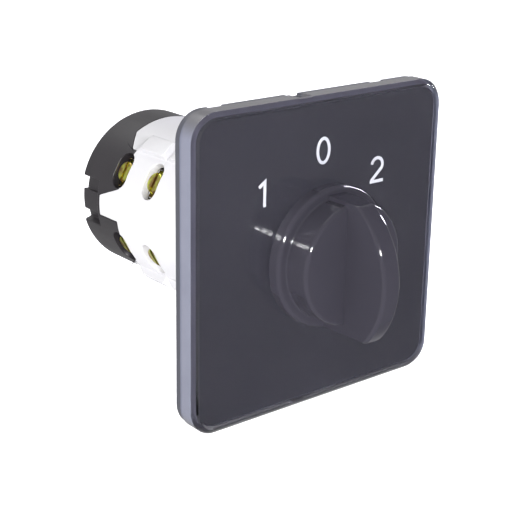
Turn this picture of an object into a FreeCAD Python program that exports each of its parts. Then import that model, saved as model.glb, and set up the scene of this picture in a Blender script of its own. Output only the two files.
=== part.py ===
import FreeCAD, Part
import math
import os

from FreeCAD import Vector

# A panel-mounted rotary battery switch with three positions: 1, 0 and 2.
# Millimetres. The shaft turns on the Y axis: the knob faces -Y, the contact stages reach back to +Y
# and +Z is up. The origin is on the shaft axis, in the plane where the front plate meets the panel.
# Angles are clock angles: degrees clockwise from +Z, as seen from the knob.

# Front plate: a clear cover snapped over a base plate, with the legend between them.
PLATE_SIDE = 64.0
PLATE_DEPTH = 6.4
PLATE_CORNER = 5.6
COVER_BEVEL = 1.1
COVER_WALL = 1.5
COVER_FRONT = 1.6
BASE_RIM = 1.5
BASE_DEPTH = 3.3
LEGEND_THICKNESS = 1.2
LEGEND_HOLE = 7.0
PRY_SLOT_WIDTH = 3.2
PRY_SLOT_DEPTH = 0.7
PRY_SLOT_LENGTH = 4.6
PRY_SLOT_X = -4.4
CLIP_NOTCH_WIDTH = 3.4
CLIP_NOTCH_POSITIONS = (-23.0, 18.0)
PANEL_HOLE_SPACING = 48.0
PANEL_HOLE_RADIUS = 2.2

# Numerals, as thin white solids on the legend plate.
NUMERAL_HEIGHT = 5.5
NUMERAL_WIDTH = 3.6
NUMERAL_STROKE = 0.62
NUMERAL_THICKNESS = 0.1
NUMERAL_RADIUS = 20.9

# Knob: skirt, drum and an arched grip across the dial.
KNOB_GAP = 0.5
SKIRT_RADIUS = 14.6
SKIRT_HEIGHT = 3.2
DRUM_RADIUS = 12.5
DRUM_HEIGHT = 8.8
GRIP_HALF_WIDTH = 2.2
GRIP_ARC_RADIUS = 18.0
GRIP_ARC_CENTRE_Z = -2.05
GRIP_ARC_CENTRE_HEIGHT = 1.6
GRIP_TOP_END = 12.9
GRIP_BOTTOM_END = 14.2
SOCKET_DEPTH = 7.6
SET_SCREW_RADIUS = 1.6
SET_SCREW_HEIGHT = 5.8

# Shaft.
SHAFT_SQUARE = 6.0
SHAFT_FIT = 0.03
BEARING_RADIUS = 4.4
TAIL_RADIUS = 2.5
RUNNING_CLEARANCE = 0.05

# Body behind the panel.
BODY_RADIUS = 17.9
CAVITY_RADIUS = 15.6
SPIGOT_RADIUS = 20.5
SPIGOT_LENGTH = 5.0
LATCH_LENGTH = 19.3
LATCH_FRONT_WALL = 2.2
LATCH_COVER_THICKNESS = 1.9
STAGE_LENGTH = 11.15
END_LENGTH = 14.4
FLOOR = 1.5
PAD_RADIUS = 19.6
PAD_CENTRE_ANGLE = 37.0
PAD_HALF_ANGLE = 6.0
PAD_TAPER = 3.2
EAR_LENGTH = 6.8
EAR_HALF_WIDTH = 2.3
EAR_ROOT_WIDTH = 5.0
APRON_LENGTH = 5.2
APRON_HALF_ANGLE = 43.0
APRON_INNER_RADIUS = 16.4
APRON_CORNER_ANGLE = 36.0
APRON_CORNER_WIDTH = 4.4
APRON_CORNER_LENGTH = 3.6
LOOSE_FIT = 0.1
NOTCH_SPANS = ((73.0, 83.0, 1.8), (83.0, 99.0, 0.75), (99.0, 107.0, 1.8))
NOTCH_FRONT = 7.7

# Positioning mechanism, 45 degrees a step, with end stops.
STEP_ANGLE = 45.0
WHEEL_RADIUS = 8.8
WHEEL_NOTCH_RADIUS = 2.2
WHEEL_NOTCH_CENTRE = 9.4
WHEEL_FRONT = 6.6
WHEEL_REAR = 11.0
STOP_FRONT = 12.2
STOP_REAR = 15.6
STOP_LUG_RADIUS = 12.0
STOP_LUG_HALF_ANGLE = 12.0
STOP_CLEARANCE_ANGLE = 0.3
STOP_WIDTH_ANGLE = 14.0
STOP_INNER_RADIUS = 9.2
DETENT_SPRING_THICKNESS = 0.5
SPRING_REST_X = (10.4, 14.3)
SPRING_REST_Z = (5.9, 8.05)

# Contacts. A cam lifts each plunger by CONTACT_TRAVEL in 45 degrees, and drops it as far the other way.
CONTACT_TRAVEL = 1.3
CAM_MID_RADIUS = 6.3
CAM_THICKNESS = 4.4
CAM_HUB_RADIUS = 4.85
CAM_CLEARANCE = 0.1
CONTACT_PLANE = 7.6
PLUNGER_TIP_RADIUS = 0.8
PLUNGER_HALF_WIDTH = 1.6
PLUNGER_HALF_DEPTH = 1.8
STEM_RADIUS = 1.1
STEM_TOP = 15.2
GUIDE_RADIUS = 1.8
GUIDE_BOTTOM = 13.4
GUIDE_BORE_TOP = 16.9
BRIDGE_HALF_LENGTH = 7.2
BRIDGE_HALF_DEPTH = 2.2
BRIDGE_THICKNESS = 0.9
RIVET_RADIUS = 1.1
RIVET_HEIGHT = 0.5
RIVET_POSITION = 6.0
SPRING_RADIUS = 2.25
SPRING_WIRE_RADIUS = 0.2
SPRING_TURNS = 5
FIXED_TIP_START = 4.9
FIXED_TIP_HEIGHT = 7.8
FIXED_THICKNESS = 0.9

# Terminals, four to a stage, at the seam behind it.
TERMINAL_ANGLES = (60.0, 120.0, -120.0, -60.0)
TERMINAL_BEHIND_SEAM = 0.8
OPENING_HALF_LENGTH = 4.1
OPENING_HALF_WIDTH = 2.4
PAD_PLATE_RADIUS = 13.6
PAD_PLATE_HALF_LENGTH = 3.3
PAD_PLATE_HALF_WIDTH = 3.0
SCREW_HEAD_RADIUS = 2.3
SCREW_HEAD_BOTTOM = 15.0
SCREW_HEAD_TOP = 17.2
SCREW_SHANK_RADIUS = 1.7
SCREW_SHANK_END = 10.0
SCREW_SLOT = 0.8
SCREW_SLOT_DEPTH = 0.9
CLAMP_THICKNESS = 0.8
CLAMP_HALF_LENGTH = 3.1
CLAMP_HALF_WIDTH = 2.7
POCKET_BOTTOM = 8.9
POCKET_BACK = 4.1
POCKET_WALL = 0.8

# Long bolts that hold the stages together.
TIE_BOLT_POSITION = 13.3
TIE_BOLT_RADIUS = 1.45
TIE_BOLT_HEAD_RADIUS = 2.7
TIE_BOLT_HEAD_HEIGHT = 2.0
PILLAR_RADIUS = 2.6

# Screws between the base plate and the latch housing.
PLATE_SCREW_POSITION = 10.3
PLATE_SCREW_RADIUS = 1.45
PLATE_SCREW_HEAD_RADIUS = 2.7
PLATE_SCREW_HEAD_HEIGHT = 1.6
PLATE_SCREW_END = 5.0

# Worked out from the sizes above.
FACE_Y = -PLATE_DEPTH
COVER_BACK_Y = -BASE_RIM - 0.1
LEGEND_FRONT_Y = -BASE_DEPTH - 0.05 - LEGEND_THICKNESS
KNOB_BASE_Y = FACE_Y - KNOB_GAP
SHAFT_FRONT_Y = FACE_Y - SOCKET_DEPTH
FRONT_STAGE_Y = LATCH_LENGTH
REAR_STAGE_Y = LATCH_LENGTH + STAGE_LENGTH
END_Y = LATCH_LENGTH + 2 * STAGE_LENGTH
BACK_Y = END_Y + END_LENGTH
FIXED_TOP = FIXED_TIP_HEIGHT + FIXED_THICKNESS / 2
BRIDGE_BOTTOM = FIXED_TOP + CONTACT_TRAVEL + RIVET_HEIGHT + 0.02
BRIDGE_TOP = BRIDGE_BOTTOM + BRIDGE_THICKNESS
Y_AXIS = Vector(0, 1, 0)
ORIGIN = Vector(0, 0, 0)


def box(x0, x1, y0, y1, z0, z1):
    return Part.makeBox(x1 - x0, y1 - y0, z1 - z0, Vector(x0, y0, z0))


def rod(radius, y0, y1, x=0.0, z=0.0):
    """A cylinder along Y."""
    return Part.makeCylinder(radius, y1 - y0, Vector(x, y0, z), Y_AXIS)


def upright(radius, z0, z1, x=0.0, y=0.0):
    """A cylinder along Z."""
    return Part.makeCylinder(radius, z1 - z0, Vector(x, y, z0))


def square_bar(side, y0, y1):
    half = side / 2
    return box(-half, half, y0, y1, -half, half)


def turn(shape, clock_angle):
    """A copy turned about the shaft axis, clockwise as seen from the knob."""
    copy = shape.copy()
    copy.rotate(ORIGIN, Y_AXIS, clock_angle)
    return copy


def mirrored(shape, across_left, across_down):
    if across_left:
        shape = shape.mirror(ORIGIN, Vector(1, 0, 0))
    if across_down:
        shape = shape.mirror(ORIGIN, Vector(0, 0, 1))
    return shape


def four_ways(shape):
    """The shape and its mirror images across the planes x = 0 and z = 0."""
    return [mirrored(shape, is_left, is_lower) for is_left in (False, True) for is_lower in (False, True)]


def prism(points, y0, y1):
    """A flat outline given as (x, z) points, extruded along Y."""
    corners = [Vector(x, y0, z) for x, z in points]
    outline = Part.makePolygon(corners + [corners[0]])
    return Part.Face(outline).extrude(Vector(0, y1 - y0, 0))


def strip_outline(points, thickness):
    """The outline of a strip of even thickness whose middle runs through (x, z) points."""
    half = thickness / 2
    normals = []
    for (x0, z0), (x1, z1) in zip(points, points[1:]):
        length = math.hypot(x1 - x0, z1 - z0)
        normals.append(((z0 - z1) / length, (x1 - x0) / length))
    left = []
    right = []
    for index, (x, z) in enumerate(points):
        before = normals[max(index - 1, 0)]
        after = normals[min(index, len(normals) - 1)]
        scale = half / (1 + before[0] * after[0] + before[1] * after[1])
        dx = (before[0] + after[0]) * scale
        dz = (before[1] + after[1]) * scale
        left.append((x + dx, z + dz))
        right.append((x - dx, z - dz))
    return left + right[::-1]


def clock_point(radius, clock_angle):
    angle = math.radians(clock_angle)
    return radius * math.sin(angle), radius * math.cos(angle)


def sector(inner, outer, start_angle, end_angle, y0, y1):
    """Part of a ring about the shaft axis, between two clock angles."""
    middle_angle = (start_angle + end_angle) / 2
    def at(radius, angle):
        x, z = clock_point(radius, angle)
        return Vector(x, y0, z)
    edges = [
        Part.Arc(at(outer, start_angle), at(outer, middle_angle), at(outer, end_angle)).toShape(),
        Part.makeLine(at(outer, end_angle), at(inner, end_angle)),
        Part.Arc(at(inner, end_angle), at(inner, middle_angle), at(inner, start_angle)).toShape(),
        Part.makeLine(at(inner, start_angle), at(outer, start_angle)),
    ]
    return Part.Face(Part.Wire(edges)).extrude(Vector(0, y1 - y0, 0))


def rounded_plate(side, corner, y0, y1):
    half = side / 2
    plate = box(-half, half, y0, y1, -half, half)
    return plate.makeFillet(corner, edges_along_y(plate))


def edges_along_y(shape):
    return [edge for edge in shape.Edges if abs(edge.tangentAt(edge.FirstParameter).y) > 0.99]


def edges_in_plane_y(shape, y):
    box_of = [(edge, edge.BoundBox) for edge in shape.Edges]
    return [edge for edge, bounds in box_of if abs(bounds.YMin - y) < 1e-4 and abs(bounds.YMax - y) < 1e-4]


def outer_edges_in_plane_y(shape, y, least_radius):
    """Edges in a plane whose middle lies at least this far from the shaft axis."""
    found = []
    for edge in edges_in_plane_y(shape, y):
        middle = edge.valueAt((edge.FirstParameter + edge.LastParameter) / 2)
        if math.hypot(middle.x, middle.z) > least_radius:
            found.append(edge)
    return found


def joined(shapes):
    first = shapes[0]
    return first.fuse(shapes[1:]).removeSplitter()


def save(name, shape):
    if not shape.isValid():
        raise ValueError(name + " is not a valid shape")
    shape.exportStep("parts/" + name + ".step")


def four_corners(distance):
    return [(x, z) for x in (-distance, distance) for z in (-distance, distance)]


# Front plate

def pry_slots():
    """Shallow slots across the top and bottom edges, where a blade lifts the cover off the base plate."""
    low_x = PRY_SLOT_X - PRY_SLOT_WIDTH / 2
    high_x = PRY_SLOT_X + PRY_SLOT_WIDTH / 2
    edge = PLATE_SIDE / 2
    top = box(low_x, high_x, -PRY_SLOT_LENGTH, 1, edge - PRY_SLOT_DEPTH, edge + 1)
    return [top, top.mirror(ORIGIN, Vector(0, 0, 1))]


def clear_cover():
    cover = rounded_plate(PLATE_SIDE, PLATE_CORNER, FACE_Y, COVER_BACK_Y)
    cover = cover.makeChamfer(COVER_BEVEL, edges_in_plane_y(cover, FACE_Y))
    inside = PLATE_SIDE - 2 * COVER_WALL
    hollow = rounded_plate(inside, PLATE_CORNER - COVER_WALL, FACE_Y + COVER_FRONT, COVER_BACK_Y + 1)
    hole = rod(LEGEND_HOLE, FACE_Y - 1, 0)
    return cover.cut([hollow, hole] + pry_slots())


def legend_plate():
    side = PLATE_SIDE - 2 * COVER_WALL - 0.3
    plate = rounded_plate(side, PLATE_CORNER - COVER_WALL, LEGEND_FRONT_Y, LEGEND_FRONT_Y + LEGEND_THICKNESS)
    return plate.cut(rod(LEGEND_HOLE + 0.2, LEGEND_FRONT_Y - 1, 0))


def base_plate():
    rim = rounded_plate(PLATE_SIDE - 0.4, PLATE_CORNER, -BASE_RIM, 0)
    raised_side = PLATE_SIDE - 2 * COVER_WALL - 0.3
    raised = rounded_plate(raised_side, PLATE_CORNER - COVER_WALL, -BASE_DEPTH, -BASE_RIM)
    plate = joined([rim, raised])
    cuts = [rod(BEARING_RADIUS + 1.0, -BASE_DEPTH - 1, 1)] + pry_slots()
    for x in CLIP_NOTCH_POSITIONS:
        half = CLIP_NOTCH_WIDTH / 2
        cuts.append(box(x - half, x + half, -BASE_RIM, 1, PLATE_SIDE / 2 - COVER_WALL, PLATE_SIDE / 2 + 1))
    for x, z in four_corners(PANEL_HOLE_SPACING / 2):
        cuts.append(rod(PANEL_HOLE_RADIUS, -BASE_DEPTH - 1, 1, x, z))
    recess_back = -BASE_DEPTH + PLATE_SCREW_HEAD_HEIGHT + 0.2
    for x, z in four_corners(PLATE_SCREW_POSITION):
        cuts.append(rod(PLATE_SCREW_RADIUS + LOOSE_FIT, -BASE_DEPTH - 1, 1, x, z))
        cuts.append(rod(PLATE_SCREW_HEAD_RADIUS + LOOSE_FIT, -BASE_DEPTH - 1, recess_back, x, z))
    return plate.cut(cuts)


def plate_screws():
    screws = []
    head_front = -BASE_DEPTH + 0.2
    head_back = head_front + PLATE_SCREW_HEAD_HEIGHT
    for x, z in four_corners(PLATE_SCREW_POSITION):
        head = rod(PLATE_SCREW_HEAD_RADIUS, head_front, head_back, x, z)
        shank = rod(PLATE_SCREW_RADIUS, head_back, PLATE_SCREW_END, x, z)
        slot_half = SCREW_SLOT / 2
        slot = box(x - 3, x + 3, head_front - 1, head_front + 0.8, z - slot_half, z + slot_half)
        screws.append(joined([head, shank]).cut(slot))
    return Part.makeCompound(screws)


def numeral_zero():
    def oval(half_height, half_width):
        ellipse = Part.Ellipse(Vector(0, 0, 0), half_height, half_width)
        face = Part.Face(Part.Wire(ellipse.toShape()))
        face.rotate(ORIGIN, Vector(0, 0, 1), 90)
        face.rotate(ORIGIN, Vector(1, 0, 0), 90)
        return face.extrude(Vector(0, -NUMERAL_THICKNESS, 0))
    outer = oval(NUMERAL_HEIGHT / 2, NUMERAL_WIDTH / 2)
    inner = oval(NUMERAL_HEIGHT / 2 - NUMERAL_STROKE, NUMERAL_WIDTH / 2 - NUMERAL_STROKE)
    return outer.cut(inner)


def numeral_one():
    half = NUMERAL_HEIGHT / 2
    points = [(-1.3, half - 1.5), (0.1, half - 0.55), (0.1, -half)]
    return prism(strip_outline(points, NUMERAL_STROKE), -NUMERAL_THICKNESS, 0)


def numeral_two():
    half = NUMERAL_HEIGHT / 2
    bow_radius = NUMERAL_WIDTH / 2 - NUMERAL_STROKE / 2
    bow_height = half - NUMERAL_STROKE / 2 - bow_radius
    points = []
    for angle in range(-80, 121, 20):
        x, z = clock_point(bow_radius, angle)
        points.append((x, bow_height + z))
    foot = -half + NUMERAL_STROKE / 2
    points.append((-bow_radius, foot + 0.25))
    bow = prism(strip_outline(points, NUMERAL_STROKE), -NUMERAL_THICKNESS, 0)
    edge = NUMERAL_WIDTH / 2
    base = box(-edge, edge, -NUMERAL_THICKNESS, 0, -half, -half + NUMERAL_STROKE)
    return joined([bow, base])


def numerals():
    placed = []
    for digit, angle in ((numeral_zero(), 0.0), (numeral_one(), -STEP_ANGLE), (numeral_two(), STEP_ANGLE)):
        x, z = clock_point(NUMERAL_RADIUS, angle)
        digit.translate(Vector(x, LEGEND_FRONT_Y, z))
        placed.append(digit)
    return Part.makeCompound(placed)


# Knob and shaft

def grip():
    """The arched blade: straight ends and one long arc, drawn on the plane x = 0."""
    def at(z, height):
        return Vector(-GRIP_HALF_WIDTH, KNOB_BASE_Y + KNOB_GAP - height, z)
    def arc_height(z):
        rise = math.sqrt(GRIP_ARC_RADIUS ** 2 - (z - GRIP_ARC_CENTRE_Z) ** 2)
        return GRIP_ARC_CENTRE_HEIGHT + rise
    root = SKIRT_HEIGHT - 0.5
    top = at(GRIP_TOP_END, arc_height(GRIP_TOP_END))
    crest = at(GRIP_ARC_CENTRE_Z, arc_height(GRIP_ARC_CENTRE_Z))
    bottom = at(-GRIP_BOTTOM_END, arc_height(-GRIP_BOTTOM_END))
    top_root = at(GRIP_TOP_END + 0.4, root)
    bottom_root = at(-GRIP_BOTTOM_END - 0.2, root)
    edges = [
        Part.makeLine(top_root, top),
        Part.Arc(top, crest, bottom).toShape(),
        Part.makeLine(bottom, bottom_root),
        Part.makeLine(bottom_root, top_root),
    ]
    blade = Part.Face(Part.Wire(edges)).extrude(Vector(2 * GRIP_HALF_WIDTH, 0, 0))
    crest_edges = [edge for edge in blade.Edges if edge.BoundBox.ZLength > GRIP_TOP_END
                   and edge.BoundBox.YLength > 1.0]
    return blade.makeFillet(0.7, crest_edges)


def knob():
    skirt_front = FACE_Y - SKIRT_HEIGHT
    drum_front = FACE_Y - DRUM_HEIGHT
    skirt = rod(SKIRT_RADIUS, skirt_front, KNOB_BASE_Y)
    skirt = skirt.makeFillet(0.9, edges_in_plane_y(skirt, skirt_front))
    drum = rod(DRUM_RADIUS, drum_front, skirt_front + 0.5)
    drum = drum.makeFillet(0.8, edges_in_plane_y(drum, drum_front))
    body = joined([skirt, drum, grip()])
    socket = square_bar(SHAFT_SQUARE + 2 * SHAFT_FIT, SHAFT_FRONT_Y - 0.1, 0)
    hole_radius = SET_SCREW_RADIUS + RUNNING_CLEARANCE
    screw_hole = upright(hole_radius, -DRUM_RADIUS - 3, 0, 0, FACE_Y - SET_SCREW_HEIGHT)
    underside = rod(SKIRT_RADIUS - 1.6, KNOB_BASE_Y - 1.4, 0).cut(rod(BEARING_RADIUS + 1.4, -20, 1))
    return body.cut([socket, screw_hole, underside])


def knob_set_screw():
    start = SHAFT_SQUARE / 2 + SHAFT_FIT
    screw = upright(SET_SCREW_RADIUS, -9.5, -start, 0, FACE_Y - SET_SCREW_HEIGHT)
    hexagon = [clock_point(0.85, angle) for angle in range(0, 360, 60)]
    socket = prism(hexagon, 0, 2.0)
    socket.rotate(ORIGIN, Vector(1, 0, 0), 90)
    socket.translate(Vector(0, FACE_Y - SET_SCREW_HEIGHT, -9.6))
    return screw.cut(socket)


def shaft():
    tail_front = END_Y + 1.0
    front = square_bar(SHAFT_SQUARE, SHAFT_FRONT_Y, -BASE_DEPTH)
    bearing = rod(BEARING_RADIUS, -BASE_DEPTH, WHEEL_FRONT - 0.3)
    middle = square_bar(SHAFT_SQUARE, WHEEL_FRONT - 0.3, tail_front)
    tail = rod(TAIL_RADIUS, tail_front, BACK_Y - 3.0)
    return joined([front, bearing, middle, tail])


def square_bore():
    return square_bar(SHAFT_SQUARE + 2 * SHAFT_FIT, -1, BACK_Y)


# Positioning mechanism

def detent_wheel():
    wheel = rod(WHEEL_RADIUS, WHEEL_FRONT, WHEEL_REAR)
    notches = []
    for step in range(8):
        x, z = clock_point(WHEEL_NOTCH_CENTRE, step * STEP_ANGLE)
        notches.append(rod(WHEEL_NOTCH_RADIUS, WHEEL_FRONT - 1, WHEEL_REAR + 1, x, z))
    return wheel.cut(notches + [square_bore()])


def detent_spring():
    """A bowed leaf with a nose that rests in a notch of the wheel."""
    points = [(-12.5, 8.4), (-5.0, 10.4), (-1.6, 10.0), (0.0, 7.9), (1.6, 10.0), (5.0, 10.4), (12.5, 8.4)]
    return prism(strip_outline(points, DETENT_SPRING_THICKNESS), WHEEL_FRONT + 0.2, WHEEL_REAR - 0.2)


def stop_disc():
    hub = rod(CAM_HUB_RADIUS + 1.2, STOP_FRONT, STOP_REAR)
    lug = sector(4.0, STOP_LUG_RADIUS, -STOP_LUG_HALF_ANGLE, STOP_LUG_HALF_ANGLE, STOP_FRONT, STOP_REAR)
    return joined([hub, lug]).cut(square_bore())


def end_stop():
    """A block that the lug on the stop disc meets at the end of its turn to the right."""
    start = STOP_LUG_HALF_ANGLE + STEP_ANGLE + STOP_CLEARANCE_ANGLE
    end = start + STOP_WIDTH_ANGLE
    return sector(STOP_INNER_RADIUS, CAVITY_RADIUS + 0.4, start, end, STOP_FRONT - 0.2, STOP_REAR)


def latch_housing():
    root_y = LATCH_FRONT_WALL - 0.5
    pillar_end = LATCH_LENGTH - LATCH_COVER_THICKNESS - 0.1
    spigot = rod(SPIGOT_RADIUS, 0, SPIGOT_LENGTH)
    barrel = rod(BODY_RADIUS, 0, LATCH_LENGTH)
    shell = joined([spigot, barrel]).cut(rod(CAVITY_RADIUS, LATCH_FRONT_WALL, LATCH_LENGTH + 1))
    inner = rod(CAVITY_RADIUS + 0.4, root_y, pillar_end)
    added = [end_stop(), mirrored(end_stop(), True, False)]
    for side in (-1, 1):
        added.append(rod(PILLAR_RADIUS, root_y, pillar_end, side * TIE_BOLT_POSITION, 0))
    rest = box(*SPRING_REST_X, WHEEL_FRONT, WHEEL_REAR, *SPRING_REST_Z)
    rest = rest.common(inner)
    added += four_ways(rest)
    for x, z in four_corners(PLATE_SCREW_POSITION):
        added.append(rod(2.4, root_y, WHEEL_FRONT - 0.4, x, z).common(inner))
    housing = joined([shell] + added)
    cuts = [rod(BEARING_RADIUS + RUNNING_CLEARANCE, -1, LATCH_FRONT_WALL + 1)]
    for x, z in four_corners(PLATE_SCREW_POSITION):
        cuts.append(rod(PLATE_SCREW_RADIUS, -1, PLATE_SCREW_END + 0.5, x, z))
    for side in (-1, 1):
        cuts.append(rod(TIE_BOLT_RADIUS, 7, LATCH_LENGTH + 1, side * TIE_BOLT_POSITION, 0))
    return housing.cut(cuts)


def latch_cover():
    cover = rod(CAVITY_RADIUS - LOOSE_FIT, LATCH_LENGTH - LATCH_COVER_THICKNESS, LATCH_LENGTH)
    cuts = [rod(BEARING_RADIUS + 0.6, 0, LATCH_LENGTH + 1)]
    for side in (-1, 1):
        cuts.append(rod(TIE_BOLT_RADIUS + LOOSE_FIT, 0, LATCH_LENGTH + 1, side * TIE_BOLT_POSITION, 0))
    return cover.cut(cuts)


# Contact stages

def terminal_cuts(seam_y):
    """Rounded openings for the terminal screws, half-way across a seam, and the pockets inside them."""
    centre = seam_y + TERMINAL_BEHIND_SEAM
    straight = OPENING_HALF_LENGTH - OPENING_HALF_WIDTH
    slot = joined([
        box(-straight, straight, centre - OPENING_HALF_WIDTH, centre + OPENING_HALF_WIDTH, 9, 22),
        upright(OPENING_HALF_WIDTH, 9, 22, -straight, centre),
        upright(OPENING_HALF_WIDTH, 9, 22, straight, centre),
    ])
    pocket_side = PAD_PLATE_HALF_LENGTH + 0.4
    pocket = box(-pocket_side, pocket_side, seam_y - 1, seam_y + POCKET_BACK, POCKET_BOTTOM, CAVITY_RADIUS)
    return [turn(shape, angle) for angle in TERMINAL_ANGLES for shape in (slot, pocket)]


def body_pads(front_y, seam_y):
    """Low ribs that widen a stage at its four corners and taper towards its back."""
    taper_y = seam_y - PAD_TAPER
    limit = joined([
        rod(PAD_RADIUS + 1, front_y, taper_y),
        Part.makeCone(PAD_RADIUS, BODY_RADIUS, PAD_TAPER, Vector(0, taper_y, 0), Y_AXIS),
    ])
    ribs = []
    for centre in (PAD_CENTRE_ANGLE, 180 - PAD_CENTRE_ANGLE, 180 + PAD_CENTRE_ANGLE, -PAD_CENTRE_ANGLE):
        start = centre - PAD_HALF_ANGLE
        end = centre + PAD_HALF_ANGLE
        rib = sector(BODY_RADIUS - 0.6, PAD_RADIUS, start, end, front_y, seam_y)
        ribs.append(rib.common(limit))
    return ribs


def apron_corners(seam_y, extra):
    """Wedges that cut the aprons' corners off at a slant."""
    back = seam_y + APRON_LENGTH
    half = APRON_CORNER_WIDTH / 2
    cut_front = back - APRON_CORNER_LENGTH + extra
    points = [(half, back + extra), (-half, cut_front), (-9, cut_front), (-9, back + 9), (half, back + 9)]
    corners = [Vector(x, y, 14) for x, y in points]
    wedge = Part.Face(Part.makePolygon(corners + [corners[0]])).extrude(Vector(0, 0, 8))
    upper_left = turn(wedge, -APRON_CORNER_ANGLE)
    return four_ways(upper_left)


def ears(seam_y, outer_radius, gap):
    """A tongue at each side that reaches back over the end housing, wider above at its root."""
    low = -EAR_HALF_WIDTH - gap
    tip = seam_y + EAR_LENGTH + gap
    points = [(low, seam_y - 1), (low, tip), (EAR_HALF_WIDTH + gap, tip),
              (EAR_ROOT_WIDTH + gap, seam_y), (EAR_ROOT_WIDTH + gap, seam_y - 1)]
    corners = [Vector(x, y, 10) for x, y in points]
    tongue = Part.Face(Part.makePolygon(corners + [corners[0]])).extrude(Vector(0, 0, 12))
    ring = rod(outer_radius, seam_y - 1, tip).cut(rod(APRON_INNER_RADIUS - gap, seam_y - 2, tip + 1))
    left = turn(tongue, -90).common(ring)
    return [left, mirrored(left, True, False)]


def rear_aprons(seam_y):
    """Aprons above and below that reach back over the end housing."""
    shapes = []
    for angle in (0.0, 180.0):
        apron = sector(APRON_INNER_RADIUS, BODY_RADIUS, angle - APRON_HALF_ANGLE, angle + APRON_HALF_ANGLE,
                       seam_y - 1, seam_y + APRON_LENGTH)
        shapes.append(apron.cut(apron_corners(seam_y, 0)))
    return shapes


def stage_housing(front_y, is_rear, front_cuts):
    seam_y = front_y + STAGE_LENGTH
    barrel = rod(BODY_RADIUS, front_y, seam_y)
    shell = barrel.cut(rod(CAVITY_RADIUS, front_y + FLOOR, seam_y + 1))
    added = body_pads(front_y, seam_y)
    if is_rear:
        added += ears(seam_y, BODY_RADIUS, 0) + rear_aprons(seam_y)
    for side in (-1, 1):
        added.append(rod(PILLAR_RADIUS, front_y + FLOOR - 0.5, seam_y, side * TIE_BOLT_POSITION, 0))
        guide = upright(GUIDE_RADIUS, GUIDE_BOTTOM, CAVITY_RADIUS + 0.5, 0, front_y + CONTACT_PLANE)
        added.append(turn(guide, 90 - 90 * side))
    if front_cuts:
        half = PAD_PLATE_HALF_LENGTH
        wall_y = front_y + POCKET_BACK + 0.1
        wall = box(-half, half, wall_y, wall_y + POCKET_WALL, 11.0, CAVITY_RADIUS + 0.5)
        added += [turn(wall, angle) for angle in TERMINAL_ANGLES]
    housing = joined([shell] + added)
    cuts = terminal_cuts(seam_y)
    if front_cuts:
        cuts += terminal_cuts(front_y)
    cuts.append(rod(BEARING_RADIUS + 0.6, front_y - 1, front_y + FLOOR + 1))
    for side in (-1, 1):
        cuts.append(rod(TIE_BOLT_RADIUS + LOOSE_FIT, front_y - 1, seam_y + 1, side * TIE_BOLT_POSITION, 0))
        stem_fit = STEM_RADIUS + RUNNING_CLEARANCE
        bore = upright(stem_fit, GUIDE_BOTTOM - 1, GUIDE_BORE_TOP, 0, front_y + CONTACT_PLANE)
        cuts.append(turn(bore, 90 - 90 * side))
    return housing.cut(cuts)


def end_notches():
    """Two flats in the rim at each side, with a low lug between them."""
    shapes = []
    for start, end, depth in NOTCH_SPANS:
        notch = sector(BODY_RADIUS - depth, BODY_RADIUS + 3, start, end, END_Y + NOTCH_FRONT, BACK_Y + 1)
        shapes += [notch, mirrored(notch, True, False)]
    return shapes


def end_housing():
    housing = rod(BODY_RADIUS, END_Y, BACK_Y)
    housing = housing.makeFillet(0.6, edges_in_plane_y(housing, BACK_Y))
    cuts = terminal_cuts(END_Y) + end_notches() + ears(END_Y, BODY_RADIUS + 1, LOOSE_FIT)
    for angle in (0.0, 180.0):
        half = APRON_HALF_ANGLE + 0.4
        recess = sector(APRON_INNER_RADIUS - LOOSE_FIT, BODY_RADIUS + 1, angle - half, angle + half,
                        END_Y - 1, END_Y + APRON_LENGTH + LOOSE_FIT)
        cuts.append(recess.cut(apron_corners(END_Y, LOOSE_FIT)))
    cuts.append(rod(TAIL_RADIUS + RUNNING_CLEARANCE, END_Y - 1, BACK_Y - 2.5))
    cuts.append(rod(BEARING_RADIUS + 0.6, END_Y - 1, END_Y + 1.6))
    cuts.append(rod(9.5, BACK_Y - 1.5, BACK_Y + 1).cut(rod(5.5, BACK_Y - 2, BACK_Y + 2)))
    for side in (-1, 1):
        x = side * TIE_BOLT_POSITION
        cuts.append(rod(TIE_BOLT_RADIUS + LOOSE_FIT, END_Y - 1, BACK_Y + 1, x, 0))
        recess_front = BACK_Y - TIE_BOLT_HEAD_HEIGHT - 0.5
        cuts.append(rod(TIE_BOLT_HEAD_RADIUS + LOOSE_FIT, recess_front, BACK_Y + 1, x, 0))
    return housing.cut(cuts)


def tie_bolts():
    bolts = []
    head_back = BACK_Y - 0.5
    head_front = head_back - TIE_BOLT_HEAD_HEIGHT
    for side in (-1, 1):
        x = side * TIE_BOLT_POSITION
        head = rod(TIE_BOLT_HEAD_RADIUS, head_front, head_back, x, 0)
        shank = rod(TIE_BOLT_RADIUS, 8, head_front, x, 0)
        slot = box(x - 3, x + 3, head_back - SCREW_SLOT_DEPTH, head_back + 1, -SCREW_SLOT / 2, SCREW_SLOT / 2)
        bolts.append(joined([head, shank]).cut(slot))
    return Part.makeCompound(bolts)


def cam_radius(clock_angle):
    """Spiral under each plunger, with even stretches between."""
    rise = CONTACT_TRAVEL / STEP_ANGLE
    around = (clock_angle + 45.0) % 360.0
    if around < 90.0:
        return CAM_MID_RADIUS - rise * (around - 45.0)
    if around < 180.0:
        return CAM_MID_RADIUS - CONTACT_TRAVEL
    if around < 270.0:
        return CAM_MID_RADIUS + rise * (around - 225.0)
    return CAM_MID_RADIUS + CONTACT_TRAVEL


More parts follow.
